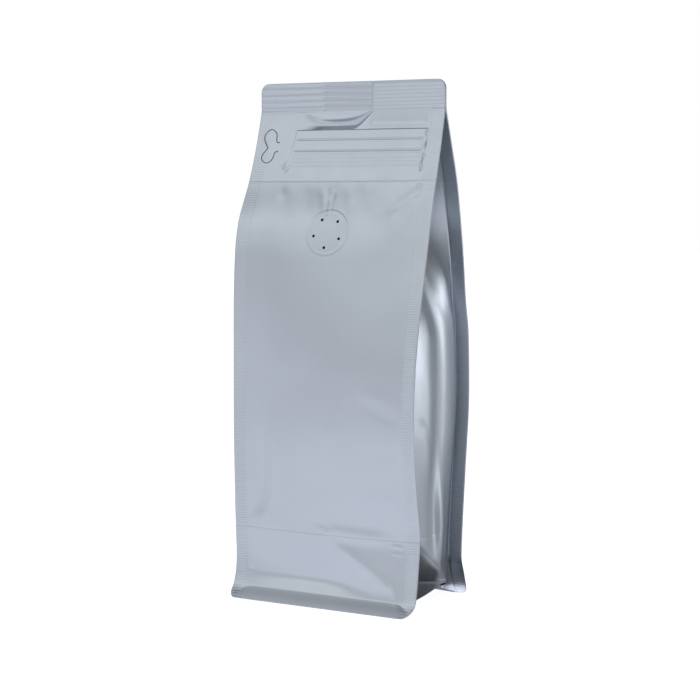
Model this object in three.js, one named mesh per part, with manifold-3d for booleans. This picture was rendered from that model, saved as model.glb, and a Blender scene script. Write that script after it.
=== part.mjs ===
// A flat-bottom pouch of metallised film, standing shut and slightly puffed.
//
// Millimetres, +Z up. The pouch stands on the bottom edges of its front and back seals at z = 0, its
// printed face looks towards -Y, and the origin is below its middle. The body is one solid: the four
// corner fins, the top seal and the two bottom seals are thin flat strips on it, the side gussets fold
// inwards towards the top, and the bottom panel is lifted between the two bottom seals. The one-way
// valve is a disc of its own, let into the front panel.

import * as THREE from 'three';
import { mergeVertices } from 'three/addons/utils/BufferGeometryUtils.js';
import Module from 'manifold-3d';

const wasm = await Module();
wasm.setup();

// ---- Driving dimensions -------------------------------------------------------------------------

const WIDTH = 110;
const HEIGHT = 273;
const GUSSET = 78; // flat width of one side gusset, with its share of both fins

const FIN = 8; // width of the sealed strip along each corner
const FIN_THICKNESS = 0.7;

const TOP_SEAL = 15.5;
const TOP_SEAL_THICKNESS = 1.7;
const TOP_CORNER_RADIUS = 5;
const CRIMP_RIBS = 7;
const CRIMP_DEPTH = 0.25;

const BOTTOM_SEAL = 5.5; // height of the free strip below the bottom panel
const BOTTOM_SEAL_THICKNESS = 1.2;
const BOTTOM_TENT = 10.5; // height of the bottom panel's middle line
const BOTTOM_RADIUS_LEFT = 4;
const BOTTOM_RADIUS_RIGHT = 9;

const UPPER_CREASE = 221; // where the filled part ends and the flat zip part begins
const LOWER_CREASE = GUSSET / 2 - 1;
const CREASE_WIDTH = 0.9;
const CREASE_DEPTH = 0.35;

const ZIP = { left: -32, right: 46.5, bottom: 227.5, top: 248, height: 0.8 };
const ZIP_LINES = [229, 231, 233, 235, 237, 242.8];
const ZIP_RIB = { width: 0.9, height: 1.3 };

const VALVE = { x: -1, z: 194.5, radius: 12.25, depth: 1.6, holeRadius: 0.5, holeCircle: 7.7 };
const VALVE_HOLES = 5;
const VALVE_FIRST_HOLE = THREE.MathUtils.degToRad(121);
const VALVE_GAP = 0.3;

// The die-cut tear tab: the middle line of its cut, [x, z], from the upper end round to the lower one.
const TAB_CUT = [
  [-40.7, 241.7], [-42.6, 242.0], [-43.0, 245.6], [-46.7, 248.4], [-50.5, 245.2],
  [-47.9, 239.2], [-50.2, 233.8], [-47.0, 230.8], [-43.4, 233.2], [-42.4, 236.4], [-40.7, 236.9],
];
const TAB_CUT_WIDTH = 0.5;
const TAB_CUT_DEPTH = 0.35;

// Depths of the four vertical corners, [z, y]: the pouch is deepest at half height, narrows to the top
// seal, and its bottom seals flare out. The two sides differ a little, as film does.
const FRONT_LEFT = [[0, -33.6], [4, -32.6], [9, -29.9], [14, -27.2], [22, -26.6], [38, -27.5],
  [60, -28.4], [100, -29.3], [150, -29.2], [180, -28], [197, -25], [221, -13.4], [240, -6],
  [256, -1.2], [273, -0.85]];
const FRONT_RIGHT = [[0, -35.6], [4, -34.4], [9, -31.8], [14, -29.6], [22, -28.2], [38, -26.4],
  [60, -30.2], [95, -34.6], [120, -33.4], [150, -28.6], [180, -21.4], [197, -17.2], [221, -10.8],
  [240, -5.2], [256, -1.2], [273, -0.85]];
const BACK_LEFT = [[0, 35.6], [4, 32.6], [9, 29.2], [14, 26.6], [22, 25], [38, 25.6], [70, 28.4],
  [110, 30], [150, 28.4], [180, 24.6], [200, 20], [221, 14.2], [240, 7.4], [256, 1.4], [273, 0.85]];
const BACK_RIGHT = [[0, 34], [4, 30.6], [9, 27.6], [14, 25.2], [22, 22.8], [38, 23.8], [70, 27],
  [110, 30.8], [140, 29.6], [160, 25.6], [180, 22.8], [200, 19], [221, 14.2], [240, 7.4],
  [256, 1.4], [273, 0.85]];

// How far the middle of the front and back panels stands out beyond the line between the fins, [z, mm],
// and how far the middle of a side gusset folds inwards from the fins; below zero it swells outwards.
const PANEL_SWELL = [[0, 0], [7, 0], [15, 1.8], [26, 2.4], [38, 1.6], [50, 3], [80, 4.4], [120, 4.4],
  [160, 3.5], [195, 2.2], [212, 1], [221, 0], [273, 0]];
const BACK_SWELL = 1.41; // the back panel swells by this much more than the front
const GUSSET_FOLD = [[0, -4], [12, -4.5], [45, -4.5], [80, -3], [115, -2], [140, 1], [160, 9],
  [180, 17], [200, 23], [221, 28], [245, 30], [273, 31]];
const FOLD_SHARPNESS = 1.3; // 1 is a sharp V, 2 is a round bow

// Heights of the loft's sections: close together where the outline turns, and up to the top seal.
const SECTIONS = [0, 1.5, 3, 4.5, 6.5, 9, 12, 16, 21, 27, 33, 38, 43, 50, 60, 72, 86, 100, 115, 130,
  144, 156, 168, 180, 190, 200, 210, 218, 221, 226, 234, 242, 249, 254, 257];
const PANEL_STEPS = 12;
const GUSSET_STEPS = 8;
const ROUND_STEPS = 40;

// ---- Curves and surfaces ------------------------------------------------------------------------

// A smooth curve through [position, value] points that never swings past them.
function smooth(points) {
  const at = points.map((point) => point[0]);
  const value = points.map((point) => point[1]);
  const last = points.length - 1;
  const gap = at.slice(1).map((right, i) => right - at[i]);
  const slope = gap.map((width, i) => (value[i + 1] - value[i]) / width);
  const tangent = at.map((_, i) => {
    if (i === 0) return slope[0];
    if (i === last) return slope[last - 1];
    if (slope[i - 1] * slope[i] <= 0) return 0;
    const before = 2 * gap[i] + gap[i - 1];
    const after = gap[i] + 2 * gap[i - 1];
    return (before + after) / (before / slope[i - 1] + after / slope[i]);
  });
  return (position) => {
    const p = THREE.MathUtils.clamp(position, at[0], at[last]);
    let i = 0;
    while (i < last - 1 && p > at[i + 1]) i += 1;
    const t = (p - at[i]) / gap[i];
    const fromValue = value[i] * (1 + 2 * t) * (1 - t) ** 2 + value[i + 1] * t * t * (3 - 2 * t);
    return fromValue + gap[i] * (tangent[i] * t * (1 - t) ** 2 + tangent[i + 1] * t * t * (t - 1));
  };
}

const frontLeft = smooth(FRONT_LEFT);
const frontRight = smooth(FRONT_RIGHT);
const backLeft = smooth(BACK_LEFT);
const backRight = smooth(BACK_RIGHT);
const panelSwell = smooth(PANEL_SWELL);
const gussetFold = smooth(GUSSET_FOLD);

const ROOT = WIDTH / 2 - FIN; // where a fin meets the swelling part of its panel

// Depth of a panel's outer face at a place: straight between the corners, plus its swell.
function panelDepth(left, right, swell, x, z) {
  const across = x / WIDTH + 0.5;
  const off = Math.min(Math.abs(x) / ROOT, 1);
  return THREE.MathUtils.lerp(left(z), right(z), across) + swell * panelSwell(z) * (1 - off * off);
}

const frontY = (x, z) => panelDepth(frontLeft, frontRight, -1, x, z);
const backY = (x, z) => panelDepth(backLeft, backRight, BACK_SWELL, x, z);

// How far a rounded lower corner draws the edge in at a height.
function cornerInset(z, radius) {
  return z < radius ? radius - Math.sqrt(radius ** 2 - (radius - z) ** 2) : 0;
}

// ---- Solids -------------------------------------------------------------------------------------

// A closed solid through equal rings of [x, y, z] points, with a fan over each end.
function loft(rings) {
  const count = rings[0].length;
  const middle = (ring) => ring
    .reduce((sum, point) => sum.add(new THREE.Vector3(...point)), new THREE.Vector3())
    .divideScalar(count).toArray();
  const positions = [...rings.flat(), middle(rings[0]), middle(rings.at(-1))].flat();
  const lowMiddle = rings.length * count;
  const index = [];
  for (let i = 0; i < count; i += 1) {
    const j = (i + 1) % count;
    for (let level = 0; level < rings.length - 1; level += 1) {
      const a = level * count;
      const b = a + count;
      index.push(a + i, a + j, b + j, a + i, b + j, b + i);
    }
    const top = (rings.length - 1) * count;
    index.push(lowMiddle, j, i, lowMiddle + 1, top + i, top + j);
  }
  const geometry = new THREE.BufferGeometry();
  geometry.setAttribute('position', new THREE.Float32BufferAttribute(positions, 3));
  geometry.setIndex(index);
  return geometry;
}

// A shape's closed mesh as a solid that can be joined and cut.
function solid(geometry) {
  const bare = geometry.clone();
  bare.deleteAttribute('normal');
  bare.deleteAttribute('uv');
  const merged = mergeVertices(bare, 1e-4);
  return new wasm.Manifold(new wasm.Mesh({
    numProp: 3,
    vertProperties: new Float32Array(merged.attributes.position.array),
    triVerts: new Uint32Array(merged.index.array),
  }));
}

function geometryOf(body) {
  const mesh = body.getMesh();
  const geometry = new THREE.BufferGeometry();
  geometry.setAttribute('position', new THREE.Float32BufferAttribute(mesh.vertProperties, 3));
  geometry.setIndex([...mesh.triVerts]);
  return geometry;
}

// The section of the pouch at one height, anticlockwise from the front left corner.
function section(z) {
  const tips = {
    left: -WIDTH / 2 + cornerInset(z, BOTTOM_RADIUS_LEFT),
    right: WIDTH / 2 - cornerInset(z, BOTTOM_RADIUS_RIGHT),
  };
  const roots = { left: Math.max(-ROOT, tips.left + 0.5), right: Math.min(ROOT, tips.right - 0.5) };
  const across = [tips.left];
  for (let i = 0; i <= PANEL_STEPS; i += 1) {
    across.push(THREE.MathUtils.lerp(roots.left, roots.right, i / PANEL_STEPS));
  }
  across.push(tips.right);

  const side = (name, outwards) => {
    const inner = (x) => [frontY(x, z) + FIN_THICKNESS, backY(x, z) - FIN_THICKNESS];
    const [frontTip, backTip] = inner(tips[name]);
    const [frontRoot, backRoot] = inner(roots[name]);
    const points = [[tips[name], frontTip, z]];
    for (let i = 0; i <= GUSSET_STEPS; i += 1) {
      const t = i / GUSSET_STEPS;
      const fold = gussetFold(z) * (1 - Math.abs(2 * t - 1) ** FOLD_SHARPNESS);
      points.push([roots[name] - outwards * fold, THREE.MathUtils.lerp(frontRoot, backRoot, t), z]);
    }
    points.push([tips[name], backTip, z]);
    return points;
  };
  return [
    ...across.map((x) => [x, frontY(x, z), z]),
    ...side('right', 1),
    ...across.map((x) => [x, backY(x, z), z]).reverse(),
    ...side('left', -1).reverse(),
  ];
}

// A thin slab that follows a panel's face, from one level under the face to another above it.
function slab(face, outwards, box, below, above) {
  const steps = 6;
  const rings = [];
  for (let i = 0; i <= steps; i += 1) {
    const x = THREE.MathUtils.lerp(box.left, box.right, i / steps);
    rings.push([
      [x, face(x, box.bottom) - outwards * below, box.bottom],
      [x, face(x, box.top) - outwards * below, box.top],
      [x, face(x, box.top) + outwards * above, box.top],
      [x, face(x, box.bottom) + outwards * above, box.bottom],
    ]);
  }
  return solid(loft(outwards > 0 ? rings.map((ring) => ring.reverse()) : rings));
}

// The flat top seal: ribbed across on both faces, with rounded corners.
function topSeal() {
  const bottom = HEIGHT - TOP_SEAL - 1;
  const half = TOP_SEAL_THICKNESS / 2;
  const samples = CRIMP_RIBS * 6;
  const edge = [];
  for (let i = 0; i <= samples; i += 1) {
    const wave = (1 - Math.cos((i / samples) * CRIMP_RIBS * Math.PI * 2)) / 2;
    edge.push([half - CRIMP_DEPTH * wave, bottom + ((HEIGHT - bottom) * i) / samples]);
  }
  const profile = new THREE.Shape([
    ...edge.map(([y, z]) => new THREE.Vector2(y, z)),
    ...edge.reverse().map(([y, z]) => new THREE.Vector2(-y, z)),
  ]);
  const ribbed = new THREE.ExtrudeGeometry(profile, { depth: WIDTH, bevelEnabled: false });
  ribbed.applyMatrix4(new THREE.Matrix4().makeBasis(
    new THREE.Vector3(0, 1, 0),
    new THREE.Vector3(0, 0, 1),
    new THREE.Vector3(1, 0, 0),
  ));
  ribbed.translate(-WIDTH / 2, 0, 0);

  const r = TOP_CORNER_RADIUS;
  const outline = new THREE.Shape();
  outline.moveTo(-WIDTH / 2, bottom - 1);
  outline.lineTo(WIDTH / 2, bottom - 1);
  outline.absarc(WIDTH / 2 - r, HEIGHT - r, r, 0, Math.PI / 2);
  outline.absarc(-WIDTH / 2 + r, HEIGHT - r, r, Math.PI / 2, Math.PI);
  const rounded = new THREE.ExtrudeGeometry(outline, {
    depth: 4 * TOP_SEAL_THICKNESS,
    bevelEnabled: false,
    curveSegments: 8,
  });
  rounded.rotateX(Math.PI / 2);
  rounded.translate(0, 2 * TOP_SEAL_THICKNESS, 0);
  return solid(ribbed).intersect(solid(rounded));
}

// The space under the pouch: between the two bottom seals, up to the tented bottom panel.
function bottomRecess() {
  const heights = [-1, BOTTOM_SEAL / 2, BOTTOM_SEAL];
  const end = (x) => [
    ...heights.map((z) => [x, frontY(x, z) + BOTTOM_SEAL_THICKNESS, z]),
    [x, 0, BOTTOM_TENT],
    ...heights.map((z) => [x, backY(x, z) - BOTTOM_SEAL_THICKNESS, z]).reverse(),
  ];
  return solid(loft([end(WIDTH), end(0), end(-WIDTH)]));
}

// The tear tab's cut, as a narrow groove along its line in the front film.
function tabCut() {
  const line = new THREE.SplineCurve(TAB_CUT.map(([x, z]) => new THREE.Vector2(x, z)));
  const samples = 36;
  const side = (offset) => Array.from({ length: samples + 1 }, (_, i) => {
    const along = line.getTangent(i / samples);
    return line.getPoint(i / samples).add(new THREE.Vector2(-along.y, along.x).multiplyScalar(offset));
  });
  const outline = [...side(-TAB_CUT_WIDTH / 2), ...side(TAB_CUT_WIDTH / 2).reverse()];
  const groove = new THREE.ExtrudeGeometry(new THREE.Shape(outline), { depth: 1, bevelEnabled: false });
  const place = groove.attributes.position;
  for (let i = 0; i < place.count; i += 1) {
    const [x, z, layer] = [place.getX(i), place.getY(i), place.getZ(i)];
    const depth = layer > 0.5 ? -1 : TAB_CUT_DEPTH;
    place.setXYZ(i, x, frontY(x, z) + depth, z);
  }
  return solid(groove);
}

// Places a shape made round the Y axis on the front panel, with +Y along the panel's normal.
function onValveSeat(geometry) {
  const { x, z } = VALVE;
  const step = 2;
  const leanX = (frontY(x + step, z) - frontY(x - step, z)) / (2 * step);
  const leanZ = (frontY(x, z + step) - frontY(x, z - step)) / (2 * step);
  const normal = new THREE.Vector3(leanX, -1, leanZ).normalize();
  const right = new THREE.Vector3(1, leanX, 0).normalize();
  const up = new THREE.Vector3().crossVectors(right, normal);
  return geometry.applyMatrix4(new THREE.Matrix4()
    .makeBasis(right, normal, up)
    .setPosition(x, frontY(x, z), z));
}

function disc(radius, low, high, steps) {
  return new THREE.CylinderGeometry(radius, radius, high - low, steps).translate(0, (low + high) / 2, 0);
}

// The valve: a flat disc with a raised weld ring and pinholes.
function valveDisc() {
  const { radius, depth, holeRadius, holeCircle } = VALVE;
  const profile = [
    [0, -depth], [radius, -depth], [radius, 0.25], [radius - 0.6, 0.5], [radius - 1.6, 0.5],
    [radius - 2.2, 0.15], [0, 0.15],
  ].map(([r, h]) => new THREE.Vector2(r, h));
  let body = solid(new THREE.LatheGeometry(profile, ROUND_STEPS));
  for (let i = 0; i < VALVE_HOLES; i += 1) {
    const angle = VALVE_FIRST_HOLE - (i / VALVE_HOLES) * Math.PI * 2;
    const hole = disc(holeRadius, -depth - 1, 1, 8);
    hole.translate(holeCircle * Math.cos(angle), 0, holeCircle * Math.sin(angle));
    body = body.subtract(solid(hole));
  }
  return onValveSeat(geometryOf(body));
}

function pouchBody() {
  let body = solid(loft(SECTIONS.map(section)));
  body = body.add(topSeal());
  body = body.subtract(bottomRecess());

  body = body.add(slab(frontY, -1, ZIP, 1, ZIP.height));
  for (const z of ZIP_LINES) {
    const rib = { ...ZIP, bottom: z - ZIP_RIB.width / 2, top: z + ZIP_RIB.width / 2 };
    body = body.add(slab(frontY, -1, rib, 1, ZIP_RIB.height));
  }

  for (const z of [LOWER_CREASE, UPPER_CREASE]) {
    const crease = {
      left: -WIDTH / 2 - 1, right: WIDTH / 2 + 1, bottom: z - CREASE_WIDTH / 2, top: z + CREASE_WIDTH / 2,
    };
    body = body.subtract(slab(frontY, -1, crease, CREASE_DEPTH, 1));
    body = body.subtract(slab(backY, 1, crease, CREASE_DEPTH, 1));
  }

  body = body.subtract(tabCut());
  const { radius, depth } = VALVE;
  const seat = disc(radius + VALVE_GAP, -depth - VALVE_GAP, 4, ROUND_STEPS);
  return geometryOf(body.subtract(solid(onValveSeat(seat))));
}

// ---- The pouch ----------------------------------------------------------------------------------

const film = new THREE.MeshStandardMaterial({ color: '#b4bac6', metalness: 0.6, roughness: 0.42 });
const valvePlastic = new THREE.MeshStandardMaterial({ color: '#aeb4c0', metalness: 0.3, roughness: 0.5 });

function named(name, geometry, material) {
  const mesh = new THREE.Mesh(geometry, material);
  mesh.name = name;
  return mesh;
}

const group = new THREE.Group();
group.add(named('pouch', pouchBody(), film));
group.add(named('valve', valveDisc(), valvePlastic));

export default group;
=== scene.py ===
# %% [markdown]
# # A flat-bottom pouch of matte silver film
#
# This pouch is welded from flat webs of metallised film: a front, a back, two side gussets that fold
# inwards towards the top, and a bottom that is lifted off the table. Where webs meet they are pressed
# together into stiff seals: four corner fins, a ribbed top seal and two bottom lips. The lesson builds
# each web and each seal as its own piece, from one set of height profiles, and then gives them the
# folds, ribs, valve and tear tab that make film look like film.

# %% Load the frame
import math

import bpy
import numpy as np
from mathutils import Matrix, Quaternion, Vector


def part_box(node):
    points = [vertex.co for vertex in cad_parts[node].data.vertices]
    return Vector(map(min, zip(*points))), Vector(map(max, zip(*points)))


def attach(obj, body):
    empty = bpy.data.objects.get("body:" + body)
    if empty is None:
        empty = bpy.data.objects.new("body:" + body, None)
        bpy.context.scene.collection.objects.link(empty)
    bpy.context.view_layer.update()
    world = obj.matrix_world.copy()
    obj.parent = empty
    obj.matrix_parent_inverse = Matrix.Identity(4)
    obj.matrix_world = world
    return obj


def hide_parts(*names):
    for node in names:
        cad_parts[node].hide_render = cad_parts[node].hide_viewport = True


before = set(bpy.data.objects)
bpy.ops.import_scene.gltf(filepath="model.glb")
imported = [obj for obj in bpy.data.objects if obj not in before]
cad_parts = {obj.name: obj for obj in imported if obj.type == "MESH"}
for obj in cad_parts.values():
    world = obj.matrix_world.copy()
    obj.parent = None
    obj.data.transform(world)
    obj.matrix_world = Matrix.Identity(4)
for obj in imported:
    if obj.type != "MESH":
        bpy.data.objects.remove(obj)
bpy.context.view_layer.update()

MM = 0.001
lowest, highest = (np.array(corner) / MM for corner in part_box("pouch"))
HALF_WIDTH = (highest[0] - lowest[0]) / 2
HEIGHT = highest[2]
valve_box = [np.array(corner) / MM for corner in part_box("valve")]
VALVE_X, _, VALVE_Z = (valve_box[0] + valve_box[1]) / 2
VALVE_RADIUS = (valve_box[1][0] - valve_box[0][0]) / 2
print(f"pouch {2 * HALF_WIDTH:.0f} x {HEIGHT:.0f} mm, valve {2 * VALVE_RADIUS:.1f} mm across")

# %% [markdown]
# ## The camera
#
# The camera stands low at the front right, almost a metre away, with a fairly long lens, so that the
# pouch's upright edges stay nearly parallel. It comes first because every later step is judged through
# it. Blender's camera looks along its own -Z, so its +Z is turned to point back at the eye. One small
# function puts anything in the scene: here the camera, and later every mesh and light.

# %% Camera
AZIMUTH, ELEVATION, ROLL = 28.95, 4.72, 0.17     # degrees
EYE = Vector((467.04, -845.33, 211.74)) * MM
LENS = 94.1                        # focal length in millimetres


def put(name, data):
    """An object for some data, linked to the scene."""
    made = bpy.data.objects.new(name, data)
    bpy.context.scene.collection.objects.link(made)
    return made


def direction(azimuth, elevation):
    """A unit vector from two angles in degrees; azimuth 0 is in front of the pouch and 90 at its right."""
    a, e = math.radians(azimuth), math.radians(elevation)
    return Vector((math.sin(a) * math.cos(e), -math.cos(a) * math.cos(e), math.sin(e)))


camera = put("camera", bpy.data.cameras.new("camera"))
camera.data.lens = LENS
camera.rotation_mode = "QUATERNION"
facing = direction(AZIMUTH, ELEVATION).to_track_quat("Z", "Y")
camera.rotation_quaternion = facing @ Quaternion((0, 0, 1), math.radians(ROLL))
camera.location = EYE
bpy.context.scene.camera = camera
print("camera", [round(value, 3) for value in camera.location])

# %% [markdown]
# ## Smooth curves and soft steps
#
# A filled film pouch has no straight uprights: its depth changes all the way up. Each corner is given
# as a short list of heights and depths, and a curve that never swings past its points joins them. Film
# can't hold a hard bend without a crease, so the curve is then evened out over a few millimetres.

# %% Curve helpers
def smooth_curve(points):
    """A curve through (place, value) points that never swings past them."""
    at, value = np.array(points, float).T
    gap = np.diff(at)
    slope = np.diff(value) / gap
    tangent = np.zeros(len(at))
    tangent[0], tangent[-1] = slope[0], slope[-1]
    for i in range(1, len(at) - 1):
        if slope[i - 1] * slope[i] > 0:
            before = 2 * gap[i] + gap[i - 1]
            after = gap[i] + 2 * gap[i - 1]
            tangent[i] = (before + after) / (before / slope[i - 1] + after / slope[i])

    def curve(place):
        p = np.clip(place, at[0], at[-1])
        i = np.clip(np.searchsorted(at, p, side="right") - 1, 0, len(gap) - 1)
        t = (p - at[i]) / gap[i]
        ends = value[i] * (1 + 2 * t) * (1 - t) ** 2 + value[i + 1] * t * t * (3 - 2 * t)
        return ends + gap[i] * (tangent[i] * t * (1 - t) ** 2 + tangent[i + 1] * t * t * (t - 1))

    return curve


def even_curve(points, spread=2.5):
    """The same curve with its bends rounded over about `spread`, in the units of its places."""
    curve = smooth_curve(points)
    step = spread / 8
    reach = 4 * spread
    half = round(reach / step)
    place = np.arange(points[0][0] - reach, points[-1][0] + reach, step)
    value = curve(place)
    first = (curve(points[0][0] + step) - curve(points[0][0])) / step
    last = (curve(points[-1][0]) - curve(points[-1][0] - step)) / step
    value = value + first * np.minimum(place - points[0][0], 0)
    value = value + last * np.maximum(place - points[-1][0], 0)
    weight = np.exp(-0.5 * (np.arange(-half, half + 1) * step / spread) ** 2)
    padded = np.pad(value, half, mode="edge")
    even = np.convolve(padded, weight / weight.sum(), mode="valid")
    return lambda z: np.interp(z, place, even)


def step_up(start, end, value):
    """0 before start, 1 after end, and smooth in between."""
    t = np.clip((np.asarray(value, float) - start) / (end - start), 0, 1)
    return t * t * (3 - 2 * t)


def between(low, high, soft, value):
    """1 between low and high, with edges that are `soft` wide, centred on them."""
    rise = step_up(low - soft / 2, low + soft / 2, value)
    return rise * (1 - step_up(high - soft / 2, high + soft / 2, value))


def bump(value, at, width):
    """1 at a place, and nearly 0 from two widths away."""
    return np.exp(-((value - at) / width) ** 2)


def above_zero(value, softness):
    """The value where it is positive and 0 where it is negative, with a soft bend between."""
    return softness * np.log1p(np.exp(value / softness))


# %% [markdown]
# ## The pouch's shape
#
# These are the pouch's driving sizes in millimetres, with +Z up and the front towards -Y. The two
# front corners and the two back corners each have their own profile of (height, depth) points, because
# no two corners of a film pouch sag alike. Between the fins a panel swells outwards like a shallow
# pillow, right down to the lip, and its left edge is a soft fold that wanders into the panel.

# %% Driving sizes and profiles
FIN_ROOT = HALF_WIDTH - 8          # a corner fin is 8 mm wide
FIN_THICKNESS = 0.45               # front or back web and gusset web, pressed together
SEAL_BOTTOM = HEIGHT - 15.5
SEAL_HALF_SIDES = 0.6              # four layers of film where the gussets end inside the seal
SEAL_HALF_MIDDLE = 0.35            # two layers between them
GUSSET_ENDS = (-16.2, 12.6)        # where the folded gussets stop inside the top seal
TOP_CORNER_RADIUS = 5.0
BOTTOM_CORNER_RADIUS = {-1: 4.0, 1: 7.0}
LOWER_CREASE, UPPER_CREASE = 38.0, 221.0
LIP_HEIGHT = 6.6
BOTTOM_SEAL, BOTTOM_TENT = 5.5, 10.5

FRONT_LEFT = ((0, -35.1), (3, -32.6), (6.5, -29.5), (9, -28.6), (14, -27.2), (22, -26.6), (38, -27.5),
              (60, -28.4), (100, -29.3), (150, -29.2), (180, -28), (197, -25), (221, -13.4), (240, -6),
              (256, -1.2), (258, -0.64), (273, -0.62))
FRONT_RIGHT = ((0, -36.8), (3, -34.4), (6.5, -31.4), (9, -30.6), (14, -29.4), (22, -28.2), (38, -26.4),
               (60, -30.2), (95, -34.6), (120, -33.4), (150, -28.6), (180, -21.4), (197, -17.2),
               (221, -10.8), (240, -5.2), (256, -1.2), (258, -0.64), (273, -0.62))
BACK_LEFT = ((0, 35.6), (4, 32.6), (9, 29.2), (14, 26.6), (22, 25), (38, 25.6), (70, 28.4), (110, 30),
             (150, 28.4), (180, 24.6), (200, 20), (221, 14.2), (240, 7.4), (256, 1.4), (258, 0.64),
             (273, 0.62))
BACK_RIGHT = ((0, 35.4), (4.5, 29.4), (6, 28.6), (9, 27.6), (14, 25.8), (22, 22.8), (38, 23.8), (70, 27),
              (110, 30.8), (140, 29.6), (160, 25.6), (180, 22.8), (200, 19), (221, 14.2), (240, 7.4),
              (256, 1.4), (258, 0.64), (273, 0.62))
BACK_SWELL = 1.35                  # the back swells by this much more than the front
FOLD_SHARPNESS = 1.3               # 1 is a sharp V, 2 is a round bow

SIDE_SPREAD = 1.6
profile = {corner: even_curve(points, SIDE_SPREAD) for corner, points in {
    ("front", -1): FRONT_LEFT, ("front", 1): FRONT_RIGHT,
    ("back", -1): BACK_LEFT, ("back", 1): BACK_RIGHT}.items()}
panel_swell = even_curve(((0, 3.8), (26, 3.8), (38, 3.0), (50, 3.2), (80, 4.4), (120, 4.4), (160, 3.5),
                          (195, 2.2), (212, 1), (221, 0.15), (273, 0)))
swell_left_edge = even_curve(((0, -47), (16, -46.5), (28, -44), (37, -43), (41, -45), (50, -38),
                              (64, -34.5), (106, -34.5), (159, -36.5), (211, -44), (221, -47),
                              (273, -47)))
gusset_fold = even_curve(((0, -4), (12, -4), (45, -2), (80, -1), (115, -1), (140, 0), (160, 5), (180, 13),
                          (200, 22), (221, 28.5), (245, 30), (273, 31)), 4)
gusset_swell = even_curve(((0, 0), (14, 0.6), (38, 3.2), (70, 4.2), (113, 4.4), (150, 3.8), (180, 1.6),
                           (205, 0.4), (221, 0), (273, 0)), 4)
low_rolls = even_curve(((0, 0), (0.12, 0.4), (0.28, 0.45), (0.5, 0.1), (0.63, 1), (0.76, 0.5), (0.9, 0.2),
                        (1, 0)), 0.02)
gusset_rolls = even_curve(((0, 0), (0.1, 0.35), (0.25, 0.8), (0.37, 1), (0.46, 0.7), (0.57, 0.36),
                           (0.64, 0.42), (0.71, 0.6), (0.77, 0.64), (0.86, 0.58), (0.94, 0.4),
                           (1, 0)), 0.02)
lower_fold = even_curve(((-47, 38), (-6, 37.5), (4, 35.5), (17, 29), (30, 21.5), (38, 14.5), (47, 9)), 2)
print("front corner depths at half height",
      [round(float(profile["front", side](HEIGHT / 2)), 1) for side in (-1, 1)])

# %% [markdown]
# ## Folds and dents
#
# What tells the eye that this is film is its relief: straight creases that fade at their ends, and
# shallow dents. Both are written as places on the flat panel. A fold gives its start, its end, its
# width and how far it stands out, and a dent its middle, its size and its height. A negative height is
# a valley. A sharp fold has a ridge like a roof, and a soft one is round.

# %% Relief helpers
def fold(across, z, start, end, width, height, sharp=False):
    """How far a straight fold stands out at each place, fading over its end quarters."""
    run = (end[0] - start[0], end[1] - start[1])
    length = math.hypot(*run)
    along = ((across - start[0]) * run[0] + (z - start[1]) * run[1]) / length ** 2
    off = ((across - start[0]) * run[1] - (z - start[1]) * run[0]) / length / width
    fade = step_up(-0.1, 0.3, along) * (1 - step_up(0.7, 1.1, along))
    shape = np.exp(-np.sqrt(off ** 2 + 0.04) + 0.2) if sharp else np.exp(-off ** 2)
    return height * fade * shape


def dent(across, z, centre, size, height, turn=0.0):
    """How far a round bump stands out at each place; turn is in degrees, anticlockwise."""
    c, s = math.cos(math.radians(turn)), math.sin(math.radians(turn))
    a, b = across - centre[0], z - centre[1]
    along, up = (a * c + b * s) / size[0], (b * c - a * s) / size[1]
    return height * np.exp(-along ** 2 - up ** 2)


def relief(across, z, folds, dents):
    return sum(fold(across, z, *each) for each in folds) + sum(dent(across, z, *each) for each in dents)


# %% [markdown]
# ## The front panel's relief
#
# The front carries the most detail. Near the top the film hangs in a hollow between the seal and the
# zip's track, with a crisp flap at its right. Below the upper crease it gathers in a small fan above
# the valve, and the lower corners hold the dents that a standing pouch gets.

# %% Front relief
SWELL_EDGE = 46.5                  # where a panel's swell ends, beside the fin
RELIEF_EDGE = 47.5                 # where its folds and dents fade out
SEAT_DEPTH = 0.06
ZIP = {"top": 247.6, "bottom": 222.0, "height": 0.35}
FAN_FOLDS = (
    # between the upper crease and the valve: ridges and valleys by turns
    ((-30.5, 226), (-20, 197), 3.6, -0.11), ((-22, 226), (-12.5, 199), 3.4, 0.13),
    ((-12, 224), (-3.8, 204), 2.4, -0.26), ((-6, 220), (-3.6, 204), 1.4, 0.2),
    ((-3.4, 213), (-2.3, 203), 0.7, -0.35, True), ((-0.9, 214), (-1.6, 203), 0.8, 0.3),
    ((9, 226), (19.5, 199), 3.2, 0.11), ((4, 226), (11, 201), 2.6, -0.14),
)
FRONT_FOLDS = (
    # the dent below the zip's right end
    ((46.6, 221), (45.4, 212), 1.2, -0.3), ((47.5, 218), (30, 204), 2.6, -0.5),
    # long soft dents of the right half
    ((22, 109), (49, 98), 3.4, -0.15), ((24, 115), (44, 109), 3.6, 0.12),
    ((30, 83), (48, 83), 3.0, -0.2),
    # the lower corners
    ((-4, 40.5), (40, 38.5), 3.6, 0.85), ((0, 36.5), (42, 13), 3.2, 0.5),
    ((-4, 45), (6, 41), 1.6, -0.25), ((39, 35.2), (46, 34.6), 0.8, 0.25),
    ((39, 31.5), (46, 31), 0.8, 0.18), ((-47.5, 15.5), (-42, 14), 0.8, -0.3, True),
    ((40, 19), (43.5, 6), 1.4, 0.25),
)
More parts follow.
